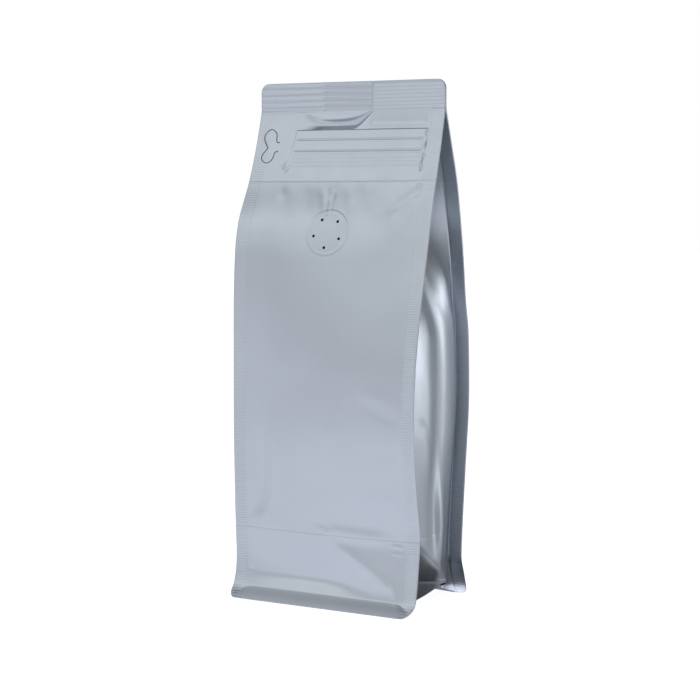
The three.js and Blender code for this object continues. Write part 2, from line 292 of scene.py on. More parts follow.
FRONT_DENTS = (
    ((9, 92), (6, 5), 0.15), ((40, 66), (5, 4), -0.2), ((-20, 150), (16, 30), 0.4),
    ((22, 160), (16, 24), -0.3), ((-8, 118), (20, 16), -0.3, 20), ((26, 60), (14, 9), 0.3),
    ((26, 192), (10, 12), 0.35), ((-32.5, 214.5), (2.6, 3.6), 0.35),
    ((-1.9, 217.6), (0.7, 2.2), 0.2, -15),
    # puckers at the ends of the zip
    ((-35.4, 228.4), (0.9, 2.4), 0.5, -25), ((-33.0, 227.6), (0.9, 1.8), -0.4, -25),
    ((-29, 257.1), (1.8, 0.7), -0.3), ((46.2, 245.3), (0.9, 1.5), -0.45),
    ((45.7, 239.5), (0.9, 1.4), 0.4), ((45.7, 233.6), (0.9, 1.3), -0.45),
    ((44.9, 230.2), (1.0, 1.1), 0.4), ((45.4, 227.4), (0.9, 1.3), -0.45),
)
zip_left = even_curve(((221, -35.5), (229, -34.4), (237.5, -32.7), (247.7, -31.4), (258, -31.2)), 1.5)
zip_right = even_curve(((221, 46.4), (228, 45.8), (236, 46.4), (243, 46.8), (258, 46.2)), 1.5)
hollow_low = even_curve(((-31, 247.9), (-3.5, 247.8), (3, 248.1), (6, 249.6), (9, 252.6), (11.5, 255.3),
                         (13.6, 257.2)), 0.8)
hollow_high = even_curve(((-31, 257.8), (-27.7, 256.8), (-21.5, 254.9), (-15.3, 253.5), (-8, 253.5),
                          (0, 254.1), (5.6, 255.3), (9.5, 256.9), (13.6, 257.9)), 1.2)
hollow_depth = even_curve(((-31.4, 0), (-26, 0.25), (-22, 0.5), (-15, 1.2), (-8, 1.5), (2, 1.6), (6, 1.4),
                           (9, 1.0), (12, 0.6), (13.6, 0)), 0.9)


def creases(z, depth=0.12, width=0.4):
    """The two pressed creases that run across every web."""
    return -depth * sum(bump(z, at, width) for at in (LOWER_CREASE, UPPER_CREASE))


def crease_ledge(x, z):
    """At the lower crease the film below stands a little proud of the film above."""
    below = LOWER_CREASE - z
    ledge = step_up(-0.15, 0.15, below) * np.exp(-np.maximum(below, 0) / 4.0)
    return (0.07 + 0.13 * step_up(-4, 4, x)) * ledge


def zip_pocket(x, z):
    """The zip's track under the film, and the film that hangs in a hollow above it."""
    left, right = zip_left(z), zip_right(z)
    track = step_up(left - 0.6, left + 0.6, x) * (1 - step_up(right - 0.6, right + 0.6, x))
    track = track * step_up(ZIP["bottom"], ZIP["top"], z) * (1 - step_up(ZIP["top"], ZIP["top"] + 0.5, z))
    low, high = hollow_low(x), hollow_high(x)
    share = np.clip((z - low) / (high - low), 0, 1)
    hollow = np.maximum(hollow_depth(x), 0) * 4 * share * (1 - share)
    flap = between(12.5, 45.6, 2.0, x) * step_up(247.6, 251.5, z) * (1 - step_up(250.5, 257.5, z))
    border = (bump(x, left, 0.45) + bump(x, right, 0.45)) * between(227, 256, 3, z)
    return ZIP["height"] * track - 1.6 * hollow - 0.5 * flap - 0.13 * border


def lip_line(x):
    """Height of the bottom lip's upper edge, which dips towards the corners."""
    return LIP_HEIGHT - 3.4 * step_up(44, 53, np.abs(x))


def bow(x, left, right, softness=0.05):
    """1 in the middle of a panel and 0 beyond its edges, with soft edges."""
    rise = 1 - ((x - (left + right) / 2) / ((right - left) / 2)) ** 2
    return above_zero(rise, softness)


def corner_line(face, x, z):
    share = x / (2 * HALF_WIDTH) + 0.5
    return profile[face, -1](z) * (1 - share) + profile[face, 1](z) * share


def lip_fold(x, z):
    """The bend along the lip's upper edge, where the film turns out towards the floor."""
    return -0.5 * np.exp(-np.sqrt((z - lip_line(x)) ** 2 + 0.06) / 1.7) * between(-52, 52, 3, x)


def lower_facet(x, z):
    """Below a long slanting fold the panel falls back towards the lip."""
    return -0.22 * above_zero(lower_fold(x) - z, 0.9)


def shoulder(x, z):
    """The panel's soft left shoulder, clearest low down."""
    edge = swell_left_edge(z)
    rise = step_up(edge - 4, edge + 7, x) * (1 - step_up(edge + 4, edge + 45, x))
    return 1.5 * rise * bump(z, 66, 30)


def valve_seat(x, z):
    """The film dips under the rim of the valve that is welded into it."""
    return step_up(VALVE_RADIUS + 0.4, VALVE_RADIUS - 0.7, np.hypot(x - VALVE_X, z - VALVE_Z))


def front(x, z, with_seat=True):
    """Depth of the front film's outer face."""
    out = (panel_swell(z) + lower_facet(x, z)) * bow(x, swell_left_edge(z), SWELL_EDGE, 0.09)
    out = (out + shoulder(x, z)) * step_up(LIP_HEIGHT - 0.1, 15, z)
    out = out + creases(z) + crease_ledge(x, z) + zip_pocket(x, z) + lip_fold(x, z)
    out = out + between(-RELIEF_EDGE, RELIEF_EDGE, 3, x) * relief(x, z, FRONT_FOLDS, FRONT_DENTS)
    out = out + relief(x, z, FAN_FOLDS, ()) * (1 - step_up(213, 222, z))
    if with_seat:
        out = out - SEAT_DEPTH * valve_seat(x, z)
    return corner_line("front", x, z) - out


# %% [markdown]
# ## The back panel and the gussets
#
# The back is plainer: no zip and no valve, but the same creases, and dents of its own where the pouch
# was handled. A gusset runs from one fin to the other. Below, it swells out in two soft rolls with a
# valley between them. Towards the top it folds in, deeper and deeper, until it lies flat in the seal.

# %% Back and gusset surfaces
BACK_FOLDS = (
    ((-30, 221), (-22, 200), 2.4, -0.5), ((-12, 221), (-9, 203), 2.0, 0.4),
    ((3, 221), (1, 206), 1.6, -0.45), ((21, 221), (27, 203), 2.2, -0.5),
    ((-46, 110), (-20, 96), 3.6, -0.45), ((18, 130), (46, 116), 3.8, -0.4),
    ((-45, 20), (16, 34), 5.0, 0.8), ((-40, 34), (-8, 29), 4.5, -0.5), ((12, 52), (30, 40), 3.0, -0.4),
)
BACK_DENTS = (
    ((-18, 160), (18, 28), 0.5), ((24, 170), (14, 24), -0.4), ((10, 90), (18, 14), -0.35, 30),
    ((-26, 66), (14, 10), 0.4), ((20, 17), (10, 4.5), -0.4),
)
BACK_HOLLOW = 0.9                  # the zip's hollow shows from behind too


def back(x, z):
    """Depth of the back film's outer face."""
    out = BACK_SWELL * panel_swell(z) * bow(x, -SWELL_EDGE, SWELL_EDGE) + creases(z) + lip_fold(x, z)
    out = out - BACK_HOLLOW * between(-14, 10, 8, x) * bump(z, 251.5, 3.6)
    out = out + between(-RELIEF_EDGE, RELIEF_EDGE, 3, x) * relief(x, z, BACK_FOLDS, BACK_DENTS)
    return corner_line("back", x, z) + out


GUSSET_FOLDS = {
    1: (
        ((-20, 36), (18, 9), 0.9, -0.4, True),
        ((-20, 100), (-6, 84), 2.6, -0.3),
        ((6, 176), (14, 150), 3.0, -0.2),
    ),
    -1: (
        ((-26, 38), (2.5, 12), 0.9, -0.55, True),
        ((24, 38), (2.5, 12), 0.9, -0.5, True),
        ((16, 110), (8, 84), 2.8, -0.35),
        ((-16, 150), (-20, 118), 2.4, -0.3),
        ((12, 176), (15, 146), 2.4, -0.45),
    ),
}
GUSSET_DENTS = {
    1: (((-12, 74), (5, 9), 0.3), ((-8, 128), (5, 14), -0.3)),
    -1: (((-12, 92), (5, 12), 0.3), ((6, 132), (5, 14), -0.3)),
}


def gusset(side, t, z):
    """Place (x, y) of a gusset: t runs from 0 at the front fin to 1 at the back fin."""
    root = np.full_like(z, side * FIN_ROOT)
    near = front(root, z) + FIN_THICKNESS
    far = back(root, z) - FIN_THICKNESS
    y = near * (1 - t) + far * t
    lower = 1 - step_up(35, 95, z)
    rolls = gusset_rolls(t) * (1 - lower) + low_rolls(t) * lower
    out = gusset_swell(z) * rolls - gusset_fold(z) * (1 - np.abs(2 * t - 1) ** FOLD_SHARPNESS)
    edge = step_up(0, 0.12, t) * (1 - step_up(0.88, 1, t))
    out = out + edge * (relief(y, z, GUSSET_FOLDS[side], GUSSET_DENTS[side]) + creases(z, 0.05, 0.8))
    seam = np.maximum(42.4 - 39 * t, 10 + 165 * (t - 0.83))    # below it the film turns under
    ridge = 17.5 - 9 * t                                       # and below this it comes out again
    out = out - edge * (0.4 * above_zero(seam - z, 0.6) - 0.22 * above_zero(ridge - z, 0.5))
    out = out - 0.25 * edge * bump(z, ridge, 0.5) * (seam > z)
    return side * (FIN_ROOT + out), y


print("gusset folds in by", round(float(gusset_fold(UPPER_CREASE)), 1), "mm at the upper crease")

# %% [markdown]
# ## Turning surfaces into meshes
#
# A web is a grid of points: rows up the pouch and columns across it. The rows and columns are packed
# close where there is something fine to show, such as the zip or the creases, and spread out on plain
# film. A seal is a closed sheet: two such grids, a front and a back, joined all round by a rounded
# edge. Everything is worked out in millimetres and turned to metres at the end.

# %% Mesh helpers
def spaced(*stretches):
    """Places along a line; each stretch is (start, end, about how far apart)."""
    places = [np.linspace(a, b, max(2, round(abs(b - a) / gap) + 1)) for a, b, gap in stretches]
    return np.concatenate([places[0], *[each[1:] for each in places[1:]]])


def quads(index):
    """The faces between the rows and columns of a grid of vertex numbers."""
    a, b, c, d = index[:-1, :-1], index[:-1, 1:], index[1:, 1:], index[1:, :-1]
    return np.stack([a, b, c, d], axis=-1).reshape(-1, 4)


def mesh_object(name, points, faces=(), edges=()):
    """A smooth-shaded object from points in millimetres."""
    mesh = bpy.data.meshes.new(name)
    mesh.from_pydata((points * MM).tolist(), edges, faces.tolist() if hasattr(faces, "tolist") else faces)
    mesh.shade_smooth()
    return put(name, mesh)


def add_attribute(thing, name, values):
    attribute = thing.data.attributes.new(name, "FLOAT", "POINT")
    attribute.data.foreach_set("value", np.asarray(values, np.float32).ravel())


def open_web(name, grid, flip=False, keep=None):
    """One web of film from a grid of points [rows, columns, xyz]."""
    index = np.arange(grid.shape[0] * grid.shape[1]).reshape(grid.shape[:2])
    faces = quads(index)
    if keep is not None:
        faces = faces[keep[:-1, :-1].ravel()]
    return mesh_object(name, grid.reshape(-1, 3), faces[:, ::-1] if flip else faces)


def rim(index):
    """The vertex numbers round a grid's edge, once round."""
    return np.concatenate([index[0, :-1], index[:-1, -1], index[-1, :0:-1], index[:0:-1, 0]])


def closed_sheet(name, outer, inner, bulge, flip=False):
    """A thin closed sheet between two equal grids, with an edge rounded out by `bulge`."""
    rows, columns = outer.shape[:2]
    index = np.arange(rows * columns).reshape(rows, columns)
    inward = np.pad(index[1:-1, 1:-1], 1, mode="edge")
    edge = rim(index)
    flat_outer, flat_inner = outer.reshape(-1, 3), inner.reshape(-1, 3)
    away = flat_outer[edge] - flat_outer[rim(inward)]
    away /= np.linalg.norm(away, axis=1, keepdims=True)
    middle = (flat_outer[edge] + flat_inner[edge]) / 2 + bulge * away
    points = np.concatenate([flat_outer, flat_inner, middle])
    count = rows * columns
    ring = np.arange(len(edge)) + 2 * count
    loops = np.stack([edge, ring, edge + count])
    loops = np.concatenate([loops, loops[:, :1]], axis=1)
    faces = np.concatenate([quads(index), quads(index + count)[:, ::-1], quads(loops)[:, ::-1]])
    made = mesh_object(name, points, faces[:, ::-1] if flip else faces)
    on_rim = np.zeros(len(points))
    on_rim[edge] = on_rim[edge + count] = on_rim[2 * count:] = 1
    return made, count, on_rim


def corner_inset(height, radius):
    """How far a rounded corner draws an edge in, at a height above the corner's end."""
    h = np.clip(height, 0, radius)
    return radius - np.sqrt(radius ** 2 - (radius - h) ** 2)


# %% [markdown]
# ## One way to add a node
#
# Materials, the world and Geometry Nodes are all node trees, so one small function adds a node to any
# of them: it sets the node's options, and then stores a value in each socket or links a node to it. The
# short ones after it are for the nodes that come back most often.

# %% Node helpers
def connect(tree, node, sockets):
    """A plain value is stored in its socket; another node's first output, or the given one, is linked."""
    for key, value in sockets.items():
        if isinstance(value, bpy.types.Node):
            value = next(socket for socket in value.outputs if socket.enabled)
        if isinstance(value, bpy.types.NodeSocket):
            tree.links.new(value, node.inputs[key])
        else:
            node.inputs[key].default_value = value


def add_node(tree, kind, sockets=None, **options):
    node = tree.nodes.new(kind)
    for name, value in options.items():
        setattr(node, name, value)
    connect(tree, node, sockets or {})
    return node


def maths(tree, operation, *values):
    return add_node(tree, "ShaderNodeMath", dict(enumerate(values)), operation=operation)


def vector_maths(tree, operation, *values, **named):
    return add_node(tree, "ShaderNodeVectorMath", {**dict(enumerate(values)), **named}, operation=operation)


def change_range(tree, value, old, new=(0.0, 1.0), steps="SMOOTHSTEP"):
    """Turns values in the old (from, to) range into the new one."""
    return add_node(tree, "ShaderNodeMapRange", {
        "Value": value, "From Min": old[0], "From Max": old[1], "To Min": new[0], "To Max": new[1]},
        interpolation_type=steps)


def noise(tree, place, size, detail, roughness=0.5):
    """Noise whose patches are about `size` millimetres across."""
    return add_node(tree, "ShaderNodeTexNoise", {
        "Vector": place, "Scale": 1 / (size * MM), "Detail": detail, "Roughness": roughness})


def mix(tree, factor, first, second, kind="RGBA"):
    return add_node(tree, "ShaderNodeMix", {"Factor": factor, "A": first, "B": second}, data_type=kind)


# %% [markdown]
# ## The film: PET, aluminium and PE laminate with a matte lacquer
#
# The real film is a vacuum-metallised layer under a matte lacquer. The metal gives it its mirror-like
# colour and its dark and bright sides, and the lacquer scatters every reflection over a wide angle. So
# the material is mostly metallic with a middling roughness. Two things vary over it: the tint, very
# slowly, and the roughness, in soft patches. A fine grain of about a quarter of a millimetre keeps
# close views from looking like plastic.

# %% Film material
def linear(hex_colour):
    """An sRGB hex colour as the linear RGBA that Blender wants."""
    parts = [int(hex_colour[i:i + 2], 16) / 255 for i in (1, 3, 5)]
    return [c / 12.92 if c <= 0.04045 else ((c + 0.055) / 1.055) ** 2.4 for c in parts] + [1.0]


def new_material(name):
    """A material with its tree, its shader and the piece's own coordinates in metres."""
    material = bpy.data.materials.new(name)
    material.use_nodes = True
    tree = material.node_tree
    place = add_node(tree, "ShaderNodeTexCoord").outputs["Object"]
    return material, tree, tree.nodes["Principled BSDF"], place


TINT_PATCH, LACQUER_PATCH, GRAIN = 45, 9, 0.28     # how large the three noises are, in mm


def film_material(name, dark, light, metallic, roughness, grain_depth):
    """Lacquered metallised film: tints, how metallic, (low, high) roughness and grain depth in mm."""
    material, tree, shader, place = new_material(name)
    tint = mix(tree, noise(tree, place, TINT_PATCH, 3.0), linear(dark), linear(light))
    spread = change_range(tree, noise(tree, place, LACQUER_PATCH, 4.0, 0.6), (0.3, 0.7), roughness, "LINEAR")
    grain = add_node(tree, "ShaderNodeBump", {
        "Height": noise(tree, place, GRAIN, 2.0, 0.6), "Distance": grain_depth * MM, "Strength": 1.0})
    connect(tree, shader, {"Base Color": tint, "Metallic": metallic, "Roughness": spread, "Normal": grain})
    return material


matte_film = film_material("matte_metallised_laminate", "#b3bbc5", "#bdc5ce", 0.88, (0.36, 0.41), 0.005)
valve_film = film_material("film_over_moulded_valve", "#b1b9c3", "#b9c1ca", 0.88, (0.36, 0.41), 0.005)
# painted shade: a dark film for the strand that stands in for the shadow inside the tear tab's slit
painted_slit_shade = film_material("die_cut_film_edge", "#4b4f58", "#5a5f69", 0.3, (0.45, 0.55), 0.004)
# the cut edge's pale sealing layer, its own colour, and also a painted highlight: it is drawn only along the
# upper-left arc where light catches it
sealing_edge_and_highlight = film_material("pale_sealing_layer", "#d9d4c2", "#e4e0d2", 0.25, (0.35, 0.45), 0.004)
print("materials", [material.name for material in (matte_film, valve_film, painted_slit_shade, sealing_edge_and_highlight)])

# %% [markdown]
# ## Press ribs, as Geometry Nodes
#
# Seals are pressed between ribbed jaws, so the ribs repeat: a job for Geometry Nodes. The tree reads
# two numbers that each mesh carries at every point: the run, which says how far along the ribbed
# stretch the point is, and the amount, which fades the ribs in and out and turns them round on the far
# side of a sheet. It moves each point along its normal by a cosine wave of the run.

# %% Press rib tree
def new_tree(name, inputs):
    """A Geometry Nodes tree that takes a geometry and the named inputs, and those inputs' sockets."""
    tree = bpy.data.node_groups.new(name, "GeometryNodeTree")
    for label, kind in {"Geometry": "Geometry", **inputs}.items():
        tree.interface.new_socket(name=label, in_out="INPUT", socket_type=f"NodeSocket{kind}")
    tree.interface.new_socket(name="Geometry", in_out="OUTPUT", socket_type="NodeSocketGeometry")
    return tree, add_node(tree, "NodeGroupInput").outputs


def finish_tree(tree, geometry, material):
    """Every tree ends the same way: real geometry, with its material set."""
    real = add_node(tree, "GeometryNodeRealizeInstances", {"Geometry": geometry})
    finished = add_node(tree, "GeometryNodeSetMaterial", {"Geometry": real, "Material": material})
    add_node(tree, "NodeGroupOutput", {"Geometry": finished})
    return tree


def press_rib_tree():
    tree, given = new_tree("press_ribs", {
        "Rib pitch": "Float", "Rib depth": "Float", "Groove sharpness": "Float",
        "Run name": "String", "Amount name": "String", "Film": "Material"})
    run, amount = (add_node(tree, "GeometryNodeInputNamedAttribute", {"Name": given[label]})
                   for label in ("Run name", "Amount name"))
    turns = maths(tree, "DIVIDE", run, given["Rib pitch"])
    wave = maths(tree, "COSINE", maths(tree, "MULTIPLY", turns, 2 * math.pi))
    groove = maths(tree, "POWER", maths(tree, "MULTIPLY_ADD", wave, 0.5, 0.5), given["Groove sharpness"])
    depth = maths(tree, "MULTIPLY", maths(tree, "MULTIPLY", groove, given["Rib depth"]), amount)
    normal = add_node(tree, "GeometryNodeInputNormal")
    inwards = vector_maths(tree, "SCALE", normal, Scale=maths(tree, "MULTIPLY", depth, -1.0))
    pressed = add_node(tree, "GeometryNodeSetPosition", {"Geometry": given["Geometry"], "Offset": inwards})
    return finish_tree(tree, pressed, given["Film"])


def add_modifier(thing, tree, **values):
    """Adds a tree to an object and sets its inputs, by socket identifier."""
    modifier = thing.modifiers.new(tree.name, "NODES")
    modifier.node_group = tree
    for socket in tree.interface.items_tree:
        key = socket.name.lower().replace(" ", "_")
        if socket.in_out == "INPUT" and key in values:
            modifier[socket.identifier] = values[key]


def settle(thing):
    """Replaces an object's mesh by what its modifiers make of it, and removes them."""
    bpy.context.view_layer.update()
    evaluated = thing.evaluated_get(bpy.context.evaluated_depsgraph_get())
    made = bpy.data.meshes.new_from_object(evaluated)
    thing.modifiers.clear()
    thing.data = made
    for attribute in [each.name for each in made.attributes if each.name.endswith(("_run", "_amount"))]:
        made.attributes.remove(made.attributes[attribute])
    return thing


press_ribs = press_rib_tree()


def press(thing, prefix, run, amount, pitch, depth, sharpness):
    """Gives a piece one set of ribs; pitch and depth are in millimetres."""
    add_attribute(thing, f"{prefix}_run", run)
    add_attribute(thing, f"{prefix}_amount", amount)
    add_modifier(thing, press_ribs, rib_pitch=pitch * MM, rib_depth=depth * MM, groove_sharpness=sharpness,
                 run_name=f"{prefix}_run", amount_name=f"{prefix}_amount", film=matte_film)


def press_sheet(sheet, count, on_rim, prefix, run, amount, **ribs):
    """The same for both faces of a closed sheet, leaving its rounded edge smooth."""
    full_run, full_amount = np.zeros((2, len(on_rim)))
    full_run[:count] = full_run[count:2 * count] = run.ravel() * MM
    full_amount[:count], full_amount[count:2 * count] = amount.ravel(), -amount.ravel()
    press(sheet, prefix, full_run, full_amount * (1 - on_rim), **ribs)


print("press rib inputs", [socket.name for socket in press_ribs.interface.items_tree])

# %% [markdown]
# ## The front web
#
# The front is the largest piece: one web from the floor to the top seal. Its lower end turns under and
# up behind the bottom lip, so that the lip has a real thickness. A web stands a hundredth of a
# millimetre proud of the seals and dives into them at its sides and its top, which is how a web
# disappears into a weld. A round opening is left where the valve sits, and the ribs of the zip are
# pressed in by the tree above.

# %% Front and back webs
WRAP = 1.2                         # how far a web turns up behind the lip
PROUD = 0.01                       # how far a web stands out from the fins and the seal
DIVE, TOP_DIVE = 0.03, 0.15        # how far its edges go into them
WEB_EDGE = FIN_ROOT + 0.25
STRIP = 0.1                        # the narrow columns at the edges that do the diving


def panel_grid(face, outward, columns, rows):
    """Points of a front or back web, with its lower end wrapped round the lip."""
    wrap_z = np.array([WRAP, 0.6, 0.15, 0.0, 0.0, 0.15])
    wrap_in = np.array([1, 1, 1, 0.8, 0.2, 0]) * FIN_THICKNESS
    z = np.concatenate([wrap_z, rows])
    inwards = np.concatenate([wrap_in, np.zeros(len(rows))])
    x, z = np.meshgrid(columns, z)
    y = face(x, z)
    thin_seal = between(*GUSSET_ENDS, 0.7, x) * step_up(255.6, 257.4, z)
    sink = (SEAL_HALF_SIDES - SEAL_HALF_MIDDLE) * thin_seal - PROUD
    sink[:, [0, -1]] = DIVE
    sink[-1] += TOP_DIVE
    y = y - outward * (sink + inwards[:, None])
    return np.stack([x, y, z], axis=-1)


def web_columns(*stretches):
    """Columns from fin to fin, each end with its two narrow strips."""
    inner = WEB_EDGE - STRIP
    start, end = (-WEB_EDGE - STRIP, -inner, STRIP), (inner, WEB_EDGE + STRIP, STRIP)
    return spaced(start, *[(max(a, -inner), min(b, inner), gap) for a, b, gap in stretches], end)


front_columns = web_columns(
    (-50, -36, 0.75), (-36, -29.5, 0.35), (-29.5, -18.5, 0.7), (-18.5, 15, 0.55), (15, 43, 0.9),
    (43, 50, 0.35))
front_rows = spaced(
    (0.4, 5.5, 0.5), (5.5, 8, 0.25), (8, 36.5, 0.7), (36.5, 39.5, 0.15), (39.5, 180, 0.85),
    (180, 219, 0.5), (219, 223, 0.15), (223, 227, 0.4), (227, 250, 0.22), (250, 258.3, 0.3))
print("front web", len(front_rows), "rows and", len(front_columns), "columns")

grid = panel_grid(front, -1, front_columns, front_rows)
x, z = grid[..., 0], grid[..., 2]
in_valve = np.hypot(x - VALVE_X, z - VALVE_Z) < VALVE_RADIUS - 1.2
film_front = open_web("film_front", grid, keep=~in_valve)
zip_across = step_up(0.5, 3, x - zip_left(z)) * step_up(0.5, 3, zip_right(z) - x)
press(film_front, "fine", (z - 229.0) * MM, zip_across * between(228.2, 236.0, 0.8, z),
      pitch=2.0, depth=0.08, sharpness=2.0)
press(film_front, "wide", (z - 236.9) * MM, zip_across * between(236.0, 243.8, 0.6, z),
      pitch=5.9, depth=0.22, sharpness=24.0)
settle(film_front)

back_columns = web_columns((-50, 50, 0.95))
back_rows = spaced(
    (0.4, 5.5, 0.5), (5.5, 8, 0.25), (8, 36.5, 0.8), (36.5, 39.5, 0.2), (39.5, 180, 1.0),
    (180, 219, 0.7), (219, 223, 0.2), (223, 258.3, 0.5))
film_back = open_web("film_back", panel_grid(back, 1, back_columns, back_rows), flip=True)
film_back.data.materials.append(matte_film)
print("webs", {each.name: len(each.data.polygons) for each in (film_front, film_back)})

# %% [markdown]
# ## The gussets and the bottom
#
# Each gusset is a grid from fin to fin. Its lower edge is cut to a roof shape, because there the film
# folds under to become the bottom. The bottom web is sealed to the inside of both lips and lifted in
# the middle, so the pouch stands on the lips alone.

# %% Gussets and bottom
GUSSET_DIVE = 0.4                  # how far a gusset's edges run into the fins
LIFTED_BELOW = 30.0                # rows under this height are squeezed up to the gusset's lower edge
gusset_edge = even_curve(((0, 0.4), (0.2, 1.2), (0.33, 2.6), (0.5, 5.5), (0.64, 7.8), (0.74, 9.4),
                          (0.8, 9.4), (0.9, 5), (1, 0.8)), 0.02)


def gusset_web(side):
    t_places = np.concatenate([[0.0], np.linspace(0, 1, 73), [1.0]])
    rows = spaced((0, 36.5, 0.7), (36.5, 39.5, 0.25), (39.5, 219, 0.9), (219, 223, 0.2), (223, 259, 0.6))
    t, z = np.meshgrid(t_places, rows)
    z = z + gusset_edge(t) * (1 - np.minimum(z / LIFTED_BELOW, 1))
    x, y = gusset(side, t, z)
    y[:, 0] -= DIVE
    y[:, -1] += DIVE
    x[:, 0] = x[:, -1] = side * (FIN_ROOT + GUSSET_DIVE)
    name = f"gusset_{'left' if side < 0 else 'right'}"
    return open_web(name, np.stack([x, y, z], axis=-1), flip=side < 0)


gussets = [gusset_web(side) for side in (-1, 1)]


def bottom_web():
    """The bottom: up inside the front lip, over like a low tent, and down inside the back lip."""
    up = np.array([0.5, 2.5, 4.5])
    t_tent = np.linspace(0, 1, 41)
    tent = BOTTOM_SEAL + (BOTTOM_TENT - BOTTOM_SEAL) * (1 - np.abs(2 * t_tent - 1) ** 1.2)
    across, z = np.meshgrid(np.linspace(-1, 1, 61), np.concatenate([up, tent, up[::-1]]))
    t = np.zeros_like(across) + np.concatenate([0 * up, t_tent, 0 * up + 1])[:, None]
    above = np.maximum(z, 8.0)
    reach = np.where(across < 0, -gusset(-1, t, above)[0], gusset(1, t, above)[0])
    x = across * (reach - 0.3)
    near = front(x, z) + FIN_THICKNESS + PROUD
    far = back(x, z) - FIN_THICKNESS - PROUD
    return open_web("film_bottom", np.stack([x, near * (1 - t) + far * t, z], axis=-1), flip=True)


film_bottom = bottom_web()
for web in (*gussets, film_bottom):
    web.data.materials.append(matte_film)
print("webs", {each.name: len(each.data.polygons) for each in (*gussets, film_bottom)})

# %% [markdown]
# ## The corner fins
#
# Each fin is a closed strip: the panel's web and the gusset's web pressed into one sheet, with a fine
# rib about every millimetre. The ribs show on both faces, so the amount changes sign from the outer to
# the inner face. The fins run the whole height and end in a rounded corner at the floor.

# %% Corner fins
FIN_TOP_THICKNESS = 0.61           # where a fin runs into the top seal
FIN_RIB_PITCH = 1.25
FIN_ROW = FIN_RIB_PITCH / 5
fin_rib_strength = even_curve(((0, 0.35), (8, 0.6), (30, 1), (120, 1), (150, 0.5), (200, 0.35), (235, 0.5),
                               (262, 0.3)), 4)


def corner_fin(face_name, side):
    face, outward = (front, -1) if face_name == "front" else (back, 1)
    rows = np.arange(0.1, SEAL_BOTTOM + 0.8, FIN_ROW)
    share = np.array([0, 0.08, 0.14, 0.25, 0.4, 0.55, 0.7, 0.85, 0.94, 1.0])
    start = FIN_ROOT - 0.8
    s, z = np.meshgrid(share, rows)
    tip = HALF_WIDTH - 0.1 - corner_inset(z, BOTTOM_CORNER_RADIUS[side])
    x = side * (start + (tip - start) * s)
    y = face(x, z)
    tuck = 0.2 * (1 - step_up(0.08, 0.14, s)) + 0.1 * step_up(SEAL_BOTTOM + 0.2, SEAL_BOTTOM + 0.6, z)
    thickness = FIN_THICKNESS + (FIN_TOP_THICKNESS - FIN_THICKNESS) * step_up(250, 257.5, z)
    outer = np.stack([x, y - outward * tuck, z], axis=-1)
    inner = np.stack([x, y - outward * (thickness - tuck), z], axis=-1)
    name = f"fin_{face_name}_{'left' if side < 0 else 'right'}"
    made, count, on_rim = closed_sheet(name, outer, inner, 0.1, flip=side * outward > 0)
    press_sheet(made, count, on_rim, "fin", z, fin_rib_strength(z) * between(0.2, 0.93, 0.08, s),
                pitch=FIN_RIB_PITCH, depth=0.13, sharpness=1.0)
    return settle(made)


fins = [corner_fin(face_name, side) for face_name in ("front", "back") for side in (-1, 1)]
print("fins", {each.name: len(each.data.polygons) for each in fins})

# %% [markdown]
# ## The top seal
#
# The jaws press the whole width at once, but the layers differ: at the sides the folded gussets lie
# between front and back, and in the middle there are only two webs. So the seal is thicker at the
# sides, with a small step at each gusset's end. The left half shows a few strong ribs and the right
# half many fine ones, which the tree makes from two runs.

# %% Top seal
LEFT_RIB_PITCH, RIGHT_RIB_PITCH = 3.3, 1.9


def seal_wave(x):
    """The seal isn't quite flat: it bends gently from side to side."""
    return 0.35 * np.sin(x / 15.0 + 0.6) + 0.2 * np.sin(x / 6.5)


def top_seal():
    """Two faces with the layers between them; `bumps` are the ribs' ends at the left gusset's end."""
    columns = spaced((-HALF_WIDTH + 0.1, -49, 0.5), (-49, -18, 0.9), (-18, -14.5, 0.25), (-14.5, 11, 0.9),
                     (11, 14, 0.25), (14, 49, 0.9), (49, HALF_WIDTH - 0.1, 0.5))
    rows = spaced((SEAL_BOTTOM - 0.2, HEIGHT - 0.1, 0.2))
    x, z = np.meshgrid(columns, rows)
    inset = corner_inset(HEIGHT - z, TOP_CORNER_RADIUS)
    beyond = np.clip((np.abs(x) - 49) / (HALF_WIDTH - 49), 0, 1)
    x = x - np.sign(x) * inset * beyond
    sides = 1 - between(*GUSSET_ENDS, 0.7, x)
    half = SEAL_HALF_MIDDLE + (SEAL_HALF_SIDES - SEAL_HALF_MIDDLE) * sides
    bumps = 0.22 * bump(x, GUSSET_ENDS[0], 0.5) * np.cos(2 * np.pi * (z - 259.6) / LEFT_RIB_PITCH)
    centre = seal_wave(x) * step_up(SEAL_BOTTOM, HEIGHT, z)
    outer = np.stack([x, centre - half - bumps, z], axis=-1)
    inner = np.stack([x, centre + half, z], axis=-1)
    made, count, on_rim = closed_sheet("top_seal", outer, inner, 0.1)
    fade = between(SEAL_BOTTOM + 0.3, HEIGHT - 0.9, 0.6, z)
    fade = fade * between(-HALF_WIDTH + 0.8, HALF_WIDTH - 0.8, 1, x)
    left = fade * (1 - step_up(-18, -15, x)) + fade * 0.45 * between(-15, 12.6, 1.5, x)
    right = fade * step_up(12.2, 14, x) + fade * 0.35 * (1 - step_up(-40, -30, x))
    press_sheet(made, count, on_rim, "left", z - 258.4, left,
                pitch=LEFT_RIB_PITCH, depth=0.24, sharpness=4.0)
    press_sheet(made, count, on_rim, "right", z - 259.3, right,
                pitch=RIGHT_RIB_PITCH, depth=0.2, sharpness=2.0)
    return settle(made)


seal = top_seal()
print("top seal", len(seal.data.polygons), "faces")

# %% [markdown]
# ## The one-way valve
#
# The valve is a moulded disc welded behind the film, so what shows is the film drawn over it: a raised
# ring where it is welded, a flat middle, and five pinholes that let gas out. It is turned like a plate
# from one outline of (radius, height) points. The pinholes are a ring of pins, cut out by a boolean
# inside Geometry Nodes, so that they are real holes into the dark inside. Then the plate is stood up
# and bent to follow the film in front of it.

